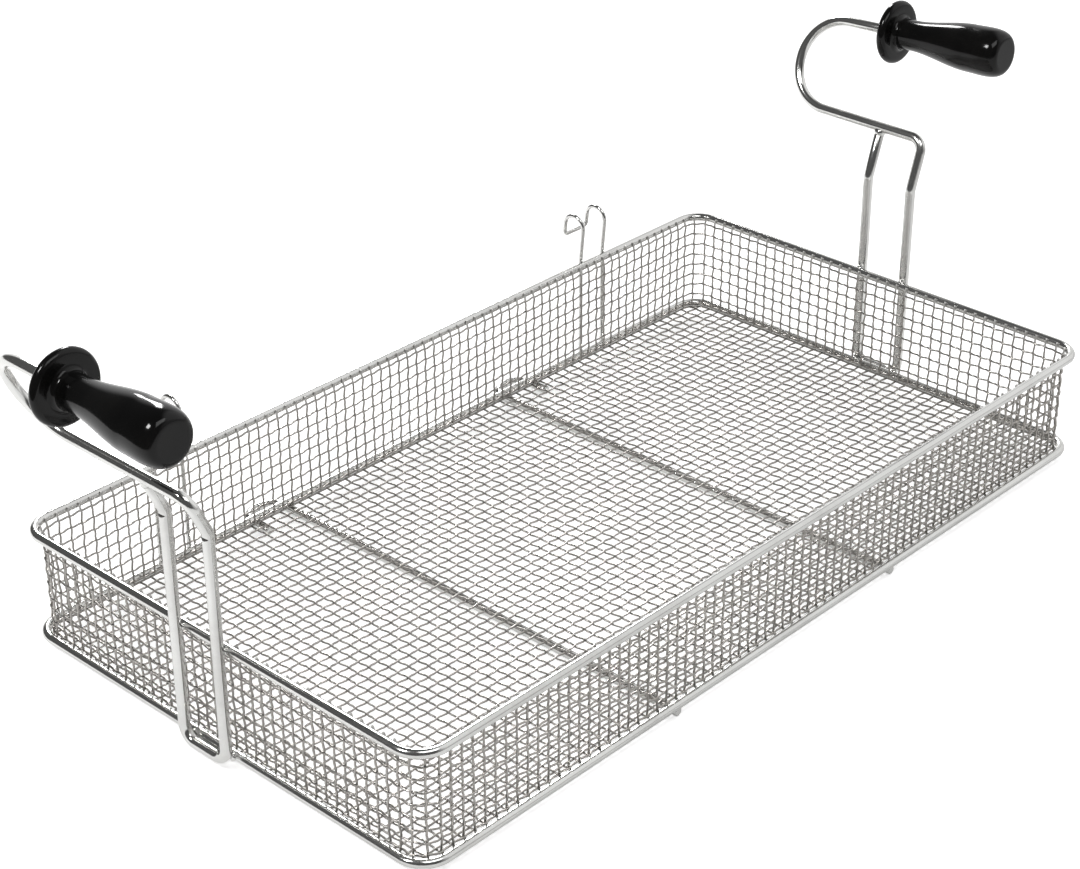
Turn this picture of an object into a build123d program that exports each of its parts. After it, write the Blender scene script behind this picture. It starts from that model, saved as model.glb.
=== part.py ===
from build123d import *
import math
import os

os.makedirs("parts", exist_ok=True)

# Driving dimensions in millimetres. The basket is long in X and short in Y, and it rests on z = 0.
rim_length = 525.0          # top rim along X, from rod centre to rod centre
rim_width = 285.0           # top rim along Y, from rod centre to rod centre
wall_height = 60.5          # from the centre of the bottom rim to the centre of the top rim
corner_radius = 15.0        # of the rim rods' centre line
rim_rod = 5.0               # diameters of the rods and wires
support_rod = 5.0
handle_rod = 6.0
hook_wire = 2.5
mesh_wire = 1.2
weld_gap = 0.1              # between pieces that are spot welded to each other

# Strands of the mesh. The strands lie in two layers that bite into each other where they cross.
long_wall_columns = 18      # openings along a long wall, a short wall and up a wall
short_wall_columns = 9
wall_rows = 3
floor_columns = 12          # openings of the floor along X and along Y
floor_rows = 7
strand_bite = 0.2
mesh_top_margin = 1.0       # from the top of the wall mesh up to the top of the rim rod

# Floor supports: a straight rod across the floor with a flat U turn behind the rear wall.
support_spacing = 176.0     # between the two straight rods
support_turn = 24.0         # from the straight rod to the returning stub
support_reach = 15.0        # from the rear rim to the outermost line of the turn
support_stub = 10.0         # how far the stub comes back under the floor, past the rear rim

# Handles: two legs joined by a U at the foot and cranked outward at the top, a straight run and
# a half round bend that leads back to the grip.
leg_spacing = 30.5
foot_drop = 1.5             # from the centre of the bottom rim down to the centre of the foot
crank_reach = 9.6
crank_radius = 20.0
handle_bend = 8.0           # radius of the tight corners, at the centre of the rod
return_lean = 25.5          # degrees that the half round bend leans outward
leg_end_gap = 0.5           # from the second leg's end up to the underside of the straight run
bead_radius = 3.6           # of the weld that closes that gap

# The two handles are bent by hand and differ by a few millimetres.
left_leg_height = 126.0     # from the centre of the bottom rim up to the crank
right_leg_height = 120.5
left_crank_rise = 20.8
right_crank_rise = 29.0
left_run = 68.0             # from the middle of the basket to the half round bend
right_run = 58.0
left_return_radius = 26.2   # of the half round bend
right_return_radius = 27.0
left_return_rise = 0.6      # degrees by which the bend stops short of half a circle
right_return_rise = 3.0
left_grip_setback = 30.0    # from the half round bend to the back of the grip
right_grip_setback = 31.0

# Grips: turned form, seated on the rod's end by a threaded bush.
grip_length = 78.0
guard_radius = 18.7
guard_thickness = 6.0
guard_edge = 2.5            # depth of the rounding on the finger guard's rim
neck_radius = 9.0
neck_length = 9.0
neck_fillet = 3.0
bulb_radius = 13.9
bulb_place = 56.0           # from the back of the grip to its widest section
end_radius = 8.5
collar_radius = 12.5
collar_thickness = 1.5
insert_length = 34.0
insert_radius = 5.5
insert_clearance = 0.1
waist_start = 8.0           # from each end of the bush to its waist
waist_depth = 0.8

# Hooks on the rear wall: a wire hairpin whose two legs arch outward and down.
hook_place = 167.0          # from the middle of the basket to the middle of each hook
hook_spacing = 19.5         # between the two legs of a hook
hook_rise = 90.0            # from the centre of the bottom rim up to the top of the arch
hook_drop = 14.5            # from the top of the arch down to the crossbar
hook_reach = 14.5           # width of the arch
hook_lean = 2.6             # the legs lean inward by this much above the rim
hook_splay = 1.5            # and the outer legs outward
hook_arch_radius = 7.0
hook_corner_radius = 3.0
hook_lean_radius = 30.0
hook_toe = 2.0              # how far the legs reach below the centre of the bottom rim

# Places that follow from the sizes above.
mesh_thickness = 2 * mesh_wire
support_z = support_rod / 2
floor_bottom = support_rod + weld_gap
floor_top = floor_bottom + mesh_thickness
bottom_rim_z = support_rod + weld_gap + rim_rod / 2
top_rim_z = bottom_rim_z + wall_height
mesh_inset = rim_rod / 2 + weld_gap
mesh_length = rim_length - 2 * mesh_inset
mesh_width = rim_width - 2 * mesh_inset
mesh_corner = corner_radius - mesh_inset
wall_bottom = floor_top + weld_gap
wall_top = top_rim_z + rim_rod / 2 - mesh_top_margin
run_long = rim_length - 2 * corner_radius
run_short = rim_width - 2 * corner_radius
leg_x = rim_length / 2 + rim_rod / 2 + weld_gap + handle_rod / 2
hook_y = rim_width / 2 + rim_rod / 2 + weld_gap + hook_wire / 2


def finish(part, label):
    """Name a finished piece and write it."""
    part.label = label
    export_step(part, f"parts/{label}.step")


def rod_along(path, diameter):
    """Sweep a round rod of that diameter along a path."""
    with BuildSketch(Plane(origin=path @ 0, z_dir=path % 0)) as section:
        Circle(diameter / 2)
    sweep(sections=section.sketch, path=path)


def rim(z, label):
    """A rod bent to a rounded rectangle at height z."""
    with BuildSketch(Plane.XY.offset(z)) as outline:
        RectangleRounded(rim_length, rim_width, corner_radius)
    with BuildPart() as ring:
        rod_along(outline.sketch.wire(), rim_rod)
    finish(ring.part, label)


def rounded_band(outset, depth):
    """The outline of the mesh, outset by a distance, with the band of that depth inside it."""
    RectangleRounded(mesh_length + 2 * outset, mesh_width + 2 * outset, mesh_corner + outset)
    inner = outset - depth
    RectangleRounded(
        mesh_length + 2 * inner, mesh_width + 2 * inner, mesh_corner + inner, mode=Mode.SUBTRACT
    )


# The wall mesh: level strands all the way round on the inside, upright strands on the outside.
with BuildPart() as wall_mesh:
    row = (wall_top - wall_bottom - mesh_wire) / wall_rows
    for level in range(wall_rows + 1):
        with BuildSketch(Plane.XY.offset(wall_bottom + level * row)):
            rounded_band(strand_bite / 2 - mesh_wire, mesh_wire + strand_bite / 2)
        extrude(amount=mesh_wire)
    with BuildSketch(Plane.XY.offset(wall_bottom)):
        pitch_long = run_long / long_wall_columns
        pitch_short = run_short / short_wall_columns
        with GridLocations(pitch_long, mesh_width, long_wall_columns + 1, 2):
            Rectangle(mesh_wire, 2 * mesh_thickness)
        with GridLocations(mesh_length, pitch_short, 2, short_wall_columns + 1):
            Rectangle(2 * mesh_thickness, mesh_wire)
        with BuildSketch(mode=Mode.INTERSECT):
            rounded_band(0, mesh_wire + strand_bite / 2)
    extrude(amount=wall_top - wall_bottom)
finish(wall_mesh.part, "wall_mesh")

# The floor mesh: long strands below, short strands above, and an edge strand all round.
with BuildPart() as floor_mesh:
    pitch_x = mesh_length / floor_columns
    pitch_y = mesh_width / floor_rows
    layer = mesh_wire + strand_bite / 2
    with BuildSketch(Plane.XY.offset(floor_bottom)):
        with GridLocations(0, pitch_y, 1, floor_rows - 1):
            Rectangle(mesh_length - mesh_wire, mesh_wire)
    extrude(amount=layer)
    with BuildSketch(Plane.XY.offset(floor_top - layer)):
        with GridLocations(pitch_x, 0, floor_columns - 1, 1):
            Rectangle(mesh_wire, mesh_width - mesh_wire)
    extrude(amount=layer)
    with BuildSketch(Plane.XY.offset(floor_bottom)):
        rounded_band(0, mesh_wire)
    extrude(amount=mesh_thickness)
finish(floor_mesh.part, "floor_mesh")

rim(top_rim_z, "top_rim")
rim(bottom_rim_z, "bottom_rim")


def floor_support(side, label):
    """A rod under the floor on one side, with a flat U turn behind the rear wall."""
    rod_x = side * support_spacing / 2
    stub_x = side * (support_spacing / 2 + support_turn)
    rear = rim_width / 2
    turn_y = rear + support_reach - support_turn / 2
    with BuildPart() as support:
        with BuildLine() as path:
            Line((rod_x, -rear, support_z), (rod_x, turn_y, support_z))
            ThreePointArc(
                (rod_x, turn_y, support_z),
                ((rod_x + stub_x) / 2, rear + support_reach, support_z),
                (stub_x, turn_y, support_z),
            )
            Line((stub_x, turn_y, support_z), (stub_x, rear - support_stub, support_z))
        rod_along(path.line, support_rod)
    finish(support.part, label)


floor_support(-1, "left_floor_support")
floor_support(1, "right_floor_support")


class Handle:
    """Where the bends and the grip of one handle lie, worked out from its own sizes.

    The half round bend lies in a plane that leans outward, and stops a little short of half a
    circle, so the grip rises towards its free end.
    """

    def __init__(self, name, side, leg_height, crank_rise, run, radius, return_rise, setback):
        lean = math.radians(return_lean)
        rise = math.radians(return_rise)
        outward = Vector(side * math.sin(lean), 0, math.cos(lean))
        rearward = Vector(0, 1, 0)
        self.name = name
        self.leg_x = side * leg_x
        self.run_x = side * (leg_x + crank_reach)
        self.foot_z = bottom_rim_z - foot_drop
        self.crank_z = bottom_rim_z + leg_height
        self.run_z = self.crank_z + crank_rise
        self.bend_start = Vector(self.run_x, run, self.run_z)
        bend_centre = self.bend_start + outward * radius
        self.bend_middle = bend_centre + rearward * radius
        self.bend_end = bend_centre + (rearward * math.sin(rise) + outward * math.cos(rise)) * radius
        self.along = outward * math.sin(rise) - rearward * math.cos(rise)
        self.across = self.along.cross(Vector(0, 0, 1)).normalized()
        self.grip_back = self.bend_end + self.along * setback
        self.insert_back = self.grip_back - self.along * collar_thickness

    def profile_plane(self):
        """A plane through the grip's axis, with its own Y direction along that axis."""
        return Plane(origin=self.grip_back, x_dir=self.across, z_dir=self.across.cross(self.along))

    def insert_plane(self):
        """The plane of the collar's back face, looking along the grip."""
        return Plane(origin=self.insert_back, x_dir=self.across, z_dir=self.along)


left_handle = Handle(
    "left",
    -1,
    left_leg_height,
    left_crank_rise,
    left_run,
    left_return_radius,
    left_return_rise,
    left_grip_setback,
)
right_handle = Handle(
    "right",
    1,
    right_leg_height,
    right_crank_rise,
    right_run,
    right_return_radius,
    right_return_rise,
    right_grip_setback,
)


def handle_rod_of(handle):
    """One bent rod: grip end, half round bend, straight run, corner, leg, foot and second leg.

    The second leg stops under the straight run, and a weld bead joins the two.
    """
    half = leg_spacing / 2
    rod_end = handle.insert_back + handle.along * insert_length
    under = Vector(handle.leg_x, half, handle.crank_z)
    over = Vector(handle.run_x, half, handle.run_z)
    upward = (over - under).normalized()
    leg_end = over - upward * (handle_rod / 2 + leg_end_gap)
    bead = over - upward * (handle_rod / 2)
    with BuildPart() as rod:
        with BuildLine() as path:
            Line(rod_end, handle.bend_end)
            ThreePointArc(handle.bend_end, handle.bend_middle, handle.bend_start)
            FilletPolyline(
                handle.bend_start,
                (handle.run_x, -half, handle.run_z),
                (handle.leg_x, -half, handle.crank_z),
                (handle.leg_x, -half, handle.foot_z),
                (handle.leg_x, half, handle.foot_z),
                (handle.leg_x, half, handle.crank_z),
                leg_end,
                radius=[handle_bend, crank_radius, handle_bend, handle_bend, crank_radius],
            )
        rod_along(path.line, handle_rod)
        with Locations(bead):
            Sphere(bead_radius)
    finish(rod.part, f"{handle.name}_handle_rod")


def grip_of(handle):
    """A turned grip round the rod's end: finger guard, neck, bulb and rounded end."""
    neck_start = guard_thickness + neck_fillet
    neck_end = guard_thickness + neck_length
    flat_radius = guard_radius - guard_edge
    fillet_radius = neck_radius + neck_fillet
    with BuildPart() as body:
        with BuildSketch(handle.profile_plane()):
            with BuildLine():
                Polyline(
                    (0, grip_length),
                    (0, -collar_thickness),
                    (collar_radius, -collar_thickness),
                    (collar_radius, 0),
                    (flat_radius, 0),
                )
                ThreePointArc(
                    (flat_radius, 0),
                    (guard_radius, guard_thickness / 2),
                    (flat_radius, guard_thickness),
                )
                Line((flat_radius, guard_thickness), (fillet_radius, guard_thickness))
                RadiusArc((fillet_radius, guard_thickness), (neck_radius, neck_start), neck_fillet)
                Line((neck_radius, neck_start), (neck_radius, neck_end))
                Spline(
                    (neck_radius, neck_end),
                    (bulb_radius, bulb_place),
                    tangents=[(0, 1), (0, 1)],
                )
                Spline(
                    (bulb_radius, bulb_place),
                    (end_radius, grip_length),
                    tangents=[(0, 1), (-1, 0)],
                )
                Line((end_radius, grip_length), (0, grip_length))
            make_face()
        revolve(axis=Axis(handle.grip_back, handle.along))
        with BuildSketch(handle.insert_plane()):
            Circle(insert_radius + insert_clearance)
        extrude(amount=insert_length + insert_clearance, mode=Mode.SUBTRACT)
    finish(body.part, f"{handle.name}_grip")


def grip_insert_of(handle):
    """The brass bush inside a grip, with a waist between two collars that the grip keys into."""
    start = handle.insert_plane()
    with BuildPart() as bush:
        with BuildSketch(start):
            Circle(insert_radius)
            Circle(handle_rod / 2 + insert_clearance, mode=Mode.SUBTRACT)
        extrude(amount=insert_length)
        with BuildSketch(start.offset(waist_start)):
            Circle(insert_radius)
            Circle(insert_radius - waist_depth, mode=Mode.SUBTRACT)
        extrude(amount=insert_length - 2 * waist_start, mode=Mode.SUBTRACT)
    finish(bush.part, f"{handle.name}_grip_insert")


for handle in (left_handle, right_handle):
    handle_rod_of(handle)
    grip_of(handle)
    grip_insert_of(handle)


def hook(side, label):
    """A wire hairpin outside the rear wall: two legs that arch outward, joined by a crossbar."""
    inner_x = side * hook_place - hook_spacing / 2
    outer_x = side * hook_place + hook_spacing / 2
    toe_z = bottom_rim_z - hook_toe
    lean_z = top_rim_z + rim_rod / 2
    arch_z = bottom_rim_z + hook_rise
    bar_z = arch_z - hook_drop
    near_y = hook_y - hook_lean
    far_y = near_y + hook_reach
    bar_y = far_y + hook_splay
    leg = [
        (hook_y, toe_z),
        (hook_y, lean_z),
        (near_y, arch_z),
        (far_y, arch_z),
        (bar_y, bar_z),
    ]
    corners = [(inner_x, y, z) for y, z in leg] + [(outer_x, y, z) for y, z in reversed(leg)]
    bends = [hook_lean_radius, hook_arch_radius, hook_arch_radius, hook_corner_radius]
    with BuildPart() as wire:
        with BuildLine() as path:
            FilletPolyline(*corners, radius=bends + bends[::-1])
        rod_along(path.line, hook_wire)
    finish(wire.part, label)


hook(-1, "left_hook")
hook(1, "right_hook")
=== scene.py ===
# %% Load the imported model
import math

import bpy
import numpy as np
from mathutils import Matrix, Vector


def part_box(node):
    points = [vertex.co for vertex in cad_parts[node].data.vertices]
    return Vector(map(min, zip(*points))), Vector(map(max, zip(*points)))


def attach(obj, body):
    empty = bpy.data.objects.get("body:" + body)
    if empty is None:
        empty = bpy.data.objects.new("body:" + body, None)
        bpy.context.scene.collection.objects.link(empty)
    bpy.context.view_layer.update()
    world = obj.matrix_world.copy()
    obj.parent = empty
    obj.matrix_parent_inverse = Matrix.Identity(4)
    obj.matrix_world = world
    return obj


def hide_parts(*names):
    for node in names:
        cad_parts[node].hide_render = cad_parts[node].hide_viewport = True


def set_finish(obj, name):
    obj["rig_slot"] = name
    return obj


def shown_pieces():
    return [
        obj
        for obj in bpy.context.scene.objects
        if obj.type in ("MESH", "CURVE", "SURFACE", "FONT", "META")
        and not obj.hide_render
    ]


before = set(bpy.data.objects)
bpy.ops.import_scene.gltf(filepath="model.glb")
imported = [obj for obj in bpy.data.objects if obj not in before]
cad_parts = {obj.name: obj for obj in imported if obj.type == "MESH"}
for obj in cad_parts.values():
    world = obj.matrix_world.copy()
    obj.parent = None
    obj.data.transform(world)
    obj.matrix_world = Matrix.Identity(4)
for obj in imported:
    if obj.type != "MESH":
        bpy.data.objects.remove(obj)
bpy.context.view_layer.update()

# %% [markdown]
# This fryer basket is bright steel rod and woven steel wire, with two black turned grips. Every rod and
# every wire is the same idea twice: a centre line, and a circle carried along it. A curve object with a
# bevel would also do that, but then the wires of the mesh could not be worked out as one array, and a
# rod would have no map that runs along it for its draw lines. So each shape below is a numpy array of
# rings: first the centre line, then two directions across it, then the circle.
#
# The sizes that the solids already hold are read from them. The bends are named here. The basket has a
# left and a right one of most pieces, so they are made in loops, with -1 for left and 1 for right.

# %% Sizes in metres
MM = 0.001
hands = {"left": -1, "right": 1}


def node_corners(node):
    """Lowest and highest corner of one solid, as numpy arrays."""
    return tuple(np.array(corner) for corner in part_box(node))


def middle_and_size(node):
    """Middle and size of one solid, as numpy arrays."""
    low, high = node_corners(node)
    return (low + high) / 2, high - low


top_middle, top_size = middle_and_size("top_rim")
bottom_middle, _ = middle_and_size("bottom_rim")
floor_middle, floor_size = middle_and_size("floor_mesh")
wall_low, wall_high = node_corners("wall_mesh")

rim_radius = top_size[2] / 2
rim_corner = 15 * MM
rim_half = top_size[:2] / 2 - rim_radius
wire_radius = floor_size[2] / 4
mesh_half = (wall_high - wall_low)[:2] / 2
mesh_corner = rim_corner - (rim_half[0] - mesh_half[0])
mesh_pitch = 7.03 * MM
print("rim rod", 2 * rim_radius, "mesh wire", 2 * wire_radius, "mesh corner", mesh_corner)

# %% [markdown]
# A rod comes off the bending bench as straight lengths joined by arcs that touch them. For each corner
# of the route the arc starts the same distance before and after it, so the whole route can be worked
# out at once, one row for each corner.

# %% Centre line of a bent rod
arc_points = 15


def unit(vectors):
    """The same directions with length one."""
    return vectors / np.linalg.norm(vectors, axis=-1, keepdims=True)


def bent_line(corners, bend_radii):
    """Centre line through the corners, each rounded by its own bend radius.

    A bend that turns by an angle t starts radius * tan(t / 2) before its corner. Its centre lies on the
    line that halves the corner, radius / cos(t / 2) away. Its points are that centre, minus the
    halving direction times radius * cos(a), plus the direction across it times radius * sin(a), with a
    going from -t / 2 to t / 2.
    """
    corners = np.array(corners, float)
    radius = np.array(bend_radii, float)[:, None, None]
    corner = corners[1:-1]
    back, ahead = unit(corners[:-2] - corner), unit(corners[2:] - corner)
    half_turn = (math.pi - np.arccos(np.sum(back * ahead, axis=1)))[:, None, None] / 2
    halving, across = unit(back + ahead)[:, None], unit(ahead - back)[:, None]
    angle = half_turn * np.linspace(-1, 1, arc_points)[None, :, None]
    centre = corner[:, None] + halving * radius / np.cos(half_turn)
    arcs = centre - halving * radius * np.cos(angle) + across * radius * np.sin(angle)
    return np.concatenate([corners[:1], arcs.reshape(-1, 3), corners[-1:]])


def line_frames(line, least_like):
    """Tangent and two directions across a line, which don't twist as they travel along it.

    The first guess for the side direction is the tangent crossed with a direction that the line never
    takes. The angle by which that guess turns about the tangent from one point to the next is summed up,
    and each side direction is turned back by the sum.
    """
    before = np.concatenate([line[:1], line[:-1]])
    after = np.concatenate([line[1:], line[-1:]])
    tangent = unit(after - before)
    side = unit(np.cross(tangent, np.array(least_like)))
    other = np.cross(tangent, side)
    carried = side[:-1] - tangent[1:] * np.sum(side[:-1] * tangent[1:], axis=1, keepdims=True)
    turn = np.arctan2(np.sum(carried * other[1:], axis=1), np.sum(carried * side[1:], axis=1))
    total = np.concatenate([[0], np.cumsum(turn)])[:, None]
    side_a = side * np.cos(total) + other * np.sin(total)
    return tangent, side_a, np.cross(tangent, side_a)


print("bend points for each corner:", arc_points)

# %% [markdown]
# A tube is a grid: one way along the line, the other way round the circle. One function makes a single
# rod or a few hundred wires, because the first axis of the arrays counts the tubes. Its map has the
# length in metres one way and the turns round the rod the other way, so that draw lines can follow it.

# %% From rings to a mesh


def tube_rings(line, side_a, side_b, radius, sides):
    """Rings round a line: line + radius * (side_a * cos(angle) + side_b * sin(angle))."""
    angle = np.linspace(0, 2 * math.pi, sides, endpoint=False)[:, None]
    round_a = side_a[..., None, :] * np.cos(angle)
    round_b = side_b[..., None, :] * np.sin(angle)
    return line[..., None, :] + np.asarray(radius)[..., None, None] * (round_a + round_b)


def rod_map(rings, spans):
    """The map of a grid: metres along the rod one way, and turns round it the other way.

    Each face has four corners, two on its own ring and two on the next. The length at a ring is the sum
    of the steps from each ring's middle to the next one's.
    """
    tubes, _, sides, _ = rings.shape
    middle = rings.mean(axis=2)
    step = np.linalg.norm(np.roll(middle, -1, axis=1) - middle, axis=-1)
    length = np.concatenate([np.zeros((tubes, 1)), np.cumsum(step, axis=1)], axis=1)
    here, there = length[:, :spans], length[:, 1:spans + 1]
    along = np.stack([here, here, there, there], -1)[:, :, None]
    place = np.arange(sides) / sides
    turns = np.stack([place, place + 1 / sides, place + 1 / sides, place], -1)
    all_corners = (tubes, spans, sides, 4)
    return np.broadcast_to(along, all_corners).reshape(-1), np.broadcast_to(turns, all_corners).reshape(-1)


def grid_piece(name, rings, closed=False):
    """A mesh piece from rings of shape (tubes, rings, sides, 3).

    Each face joins two neighbours on a ring to the same two on the next ring. A closed tube joins its
    last ring to its first, and an open one gets a flat face on each end.
    """
    if rings.ndim == 3:
        rings = rings[None]
    tubes, count, sides, _ = rings.shape
    index = np.arange(tubes * count * sides).reshape(tubes, count, sides)
    spans = count if closed else count - 1
    here = index[:, :spans]
    there = np.roll(index, -1, axis=1)[:, :spans]
    quads = np.stack([here, np.roll(here, -1, 2), np.roll(there, -1, 2), there], -1).reshape(-1, 4)
    along, turns = rod_map(rings, spans)
    loops = quads.reshape(-1)
    starts = np.arange(len(quads)) * 4
    if not closed:
        ends = np.concatenate([index[:, 0, ::-1], index[:, -1]])
        starts = np.concatenate([starts, len(loops) + np.arange(len(ends)) * sides])
        loops = np.concatenate([loops, ends.reshape(-1)])
        along = np.concatenate([along, np.zeros(ends.size)])
        turns = np.concatenate([turns, np.zeros(ends.size)])
    mesh = bpy.data.meshes.new(name)
    mesh.vertices.add(index.size)
    mesh.vertices.foreach_set("co", rings.reshape(-1).astype(np.float32))
    mesh.loops.add(len(loops))
    mesh.loops.foreach_set("vertex_index", loops.astype(np.int32))
    mesh.polygons.add(len(starts))
    mesh.polygons.foreach_set("loop_start", starts.astype(np.int32))
    mesh.polygons.foreach_set("use_smooth", np.arange(len(starts)) < len(quads))
    mesh.uv_layers.new(name="rod_map").data.foreach_set("uv", np.stack([along, turns], -1).reshape(-1))
    mesh.update(calc_edges=True)
    piece = bpy.data.objects.new(name, mesh)
    bpy.context.scene.collection.objects.link(piece)
    triangles = 2 * len(quads) + (len(starts) - len(quads)) * (sides - 2)
    print(name, "tubes", tubes, "triangles", triangles)
    return piece


def dress(piece, node, slot_name):
    """The piece rides on the one body, stands for a solid and takes its finish from a slot."""
    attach(piece, "root")
    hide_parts(node)
    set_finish(piece, slot_name)
    return piece


# %% [markdown]
# The rims are closed loops. Their route is a rounded rectangle, which is also the outline of the mesh,
# so it gets a function of its own that takes any arc length and gives the place there.

# %% Points along a rounded rectangle


def along_loop(distance, half, corner):
    """Place, tangent and outward direction at a distance along a rounded rectangle.

    The loop has eight stretches, straight and round in turn, anticlockwise from the front left corner's
    end. On a straight one the place is start + distance * heading. On a round one the heading turns by
    distance / corner, and the place follows from the sines and cosines of both headings.
    """
    straight = np.array([half[0] - corner, half[1] - corner]) * 2
    arc = corner * math.pi / 2
    lengths = np.array([straight[0], arc, straight[1], arc] * 2)
    ends = np.cumsum(lengths)
    distance = np.mod(distance, ends[-1])
    stretch = np.minimum(np.searchsorted(ends, distance, side="right"), 7)
    inside = distance - (ends - lengths)[stretch]
    quarter = (stretch // 2) * (math.pi / 2)
    x, y = half[0] - corner, half[1] - corner
    hubs = np.array([[x, -y], [x, y], [-x, y], [-x, -y]])
    first_points = np.array([[-x, -half[1]], [half[0], -y], [x, half[1]], [-half[0], y]])
    is_round = stretch % 2 == 1
    heading = quarter + np.where(is_round, inside / corner, 0)
    tangent = np.stack([np.cos(heading), np.sin(heading)], -1)
    outward = np.stack([np.sin(heading), -np.cos(heading)], -1)
    on_line = first_points[stretch // 2] + tangent * inside[..., None]
    on_arc = hubs[stretch // 2] + outward * corner
    return np.where(is_round[..., None], on_arc, on_line), tangent, outward


def loop_length(half, corner):
    """Length of the whole rounded rectangle."""
    return 4 * (half[0] + half[1] - 2 * corner) + 2 * math.pi * corner


def loop_marks(half, corner, corner_steps, side_steps):
    """Distances that follow the loop, close together in the corners and further apart on the sides."""
    arc = corner * math.pi / 2
    sides = [2 * (half[0] - corner), 2 * (half[1] - corner)] * 2
    marks, start = [], 0.0
    for side in sides:
        marks.append(start + np.linspace(0, side, side_steps, endpoint=False))
        marks.append(start + side + np.linspace(0, arc, corner_steps, endpoint=False))
        start += side + arc
    return np.concatenate(marks)


def flat(points, height=0.0):
    """Points or directions of the plane, with their height added."""
    return np.concatenate([points, np.broadcast_to(height, points.shape[:-1])[..., None]], -1)


print("length of a rim", loop_length(rim_half, rim_corner))

# %% [markdown]
# A rim is one rod bent to that rounded rectangle and butt welded, so it has no ends. A cube with round
# edges would need a frame cut out of it. The closed tube below only needs the route, and its rings lie
# closer together in the corners, where the shine moves fastest. The floor's edge wire is made the same
# way later on, so the rings have a function of their own.

# %% Rims
rod_sides = 24
rim_corner_steps = 18
rim_side_steps = 12


def loop_rings(half, corner, height, radius, sides, corner_steps, side_steps):
    """Rings round the rounded rectangle at one height: place + radius * circle across the tangent."""
    marks = loop_marks(half, corner, corner_steps, side_steps)
    place, tangent, outward = along_loop(marks, half, corner)
    side_a = flat(outward)
    return tube_rings(flat(place, height), side_a, np.cross(flat(tangent), side_a), radius, sides)


def rim_rod(name, node, height):
    """A closed rod round the basket at one height."""
    rings = loop_rings(
        rim_half, rim_corner, height, rim_radius, rod_sides, rim_corner_steps, rim_side_steps
    )
    return dress(grid_piece(name, rings, closed=True), node, "rod_steel")


rim_rod("top_rim_rod", "top_rim", top_middle[2])
rim_rod("bottom_rim_rod", "bottom_rim", bottom_middle[2])

# %% [markdown]
# An open rod ends in a sawn face with its edge taken off. The ring at each end is a little smaller, and
# the full ring follows a little further in, so that the edge catches the light as a real one does.

# %% Open rods
saw_chamfer = 0.5 * MM


def open_rod(name, node, line, radius, least_like=(1.0, 0.0, 0.0)):
    """A bent rod with chamfered ends."""
    first = line[0] + unit(line[1] - line[0]) * saw_chamfer
    last = line[-1] + unit(line[-2] - line[-1]) * saw_chamfer
    line = np.concatenate([line[:1], first[None], line[1:-1], last[None], line[-1:]])
    _, side_a, side_b = line_frames(line, least_like)
    radii = np.full(len(line), radius)
    radii[[0, -1]] = radius - saw_chamfer
    return dress(grid_piece(name, tube_rings(line, side_a, side_b, radii, rod_sides)), node, "rod_steel")


# %% [markdown]
# The two floor supports are straight rods under the mesh. Behind the rear wall each one turns flat
# through half a circle and comes back as a short stub under the floor. Four corners are enough for the
# route, because the centre line's function puts in the two quarter bends.

# %% Floor supports
support_turn = 24 * MM
stub_reach = 10 * MM
# Just under a half, so that a hair of straight rod is left between the two quarter bends.
turn_share = 0.4995


def floor_support(side, node):
    """The support's route: along the floor, round the flat turn and back to the stub."""
    low, high = node_corners(node)
    middle, size = middle_and_size(node)
    radius = size[2] / 2
    inner_x = low[0] + radius if side > 0 else high[0] - radius
    outer_x = inner_x + side * support_turn
    stub_y = rim_half[1] - stub_reach
    route = [
        (inner_x, low[1], middle[2]),
        (inner_x, high[1] - radius, middle[2]),
        (outer_x, high[1] - radius, middle[2]),
        (outer_x, stub_y, middle[2]),
    ]
    turn = support_turn * turn_share
    return open_rod(node + "_rod", node, bent_line(route, [turn, turn]), radius, (0.0, 0.0, 1.0))


for hand, side in hands.items():
    floor_support(side, hand + "_floor_support")

# %% [markdown]
# Each handle is one rod. From the grip it runs back, goes round a leaning half circle, runs along the
# short side of the basket and turns down. There it cranks inward to the rims, makes the foot and comes
# up again as the second leg, whose end butts against the straight run and is welded there. The lower
# part is a list of corners. Only the half circle is worked out apart, because it leans out of the plane
# of the rest, and the grip has to sit on its end.

# %% Handle rods
leg_half = 15.25 * MM
foot_drop = 1.5 * MM
crank_reach = 9.6 * MM
crank_bend = 9 * MM
handle_bend = 8 * MM
return_lean = math.radians(25.5)
handle_radius = 3 * MM
weld_gap = 0.1 * MM
leg_x = rim_half[0] + rim_radius + weld_gap + handle_radius
run_x = leg_x + crank_reach
crank_heights = {-1: 126 * MM, 1: 120.5 * MM}
crank_rises = {-1: 20.8 * MM, 1: 29 * MM}
handle_runs = {-1: 68 * MM, 1: 58 * MM}
return_radii = {-1: 26.2 * MM, 1: 27 * MM}
return_rises = {-1: math.radians(0.6), 1: math.radians(3)}
grip_setbacks = {-1: 30 * MM, 1: 31 * MM}
rod_in_grip = 32.5 * MM
leg_stop = 0.5 * MM
return_points = 61


def handle_heights(side):
    """Height of the crank and height of the straight run, measured up from the bottom rim."""
    crank_z = bottom_middle[2] + crank_heights[side]
    return crank_z, crank_z + crank_rises[side]


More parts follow.
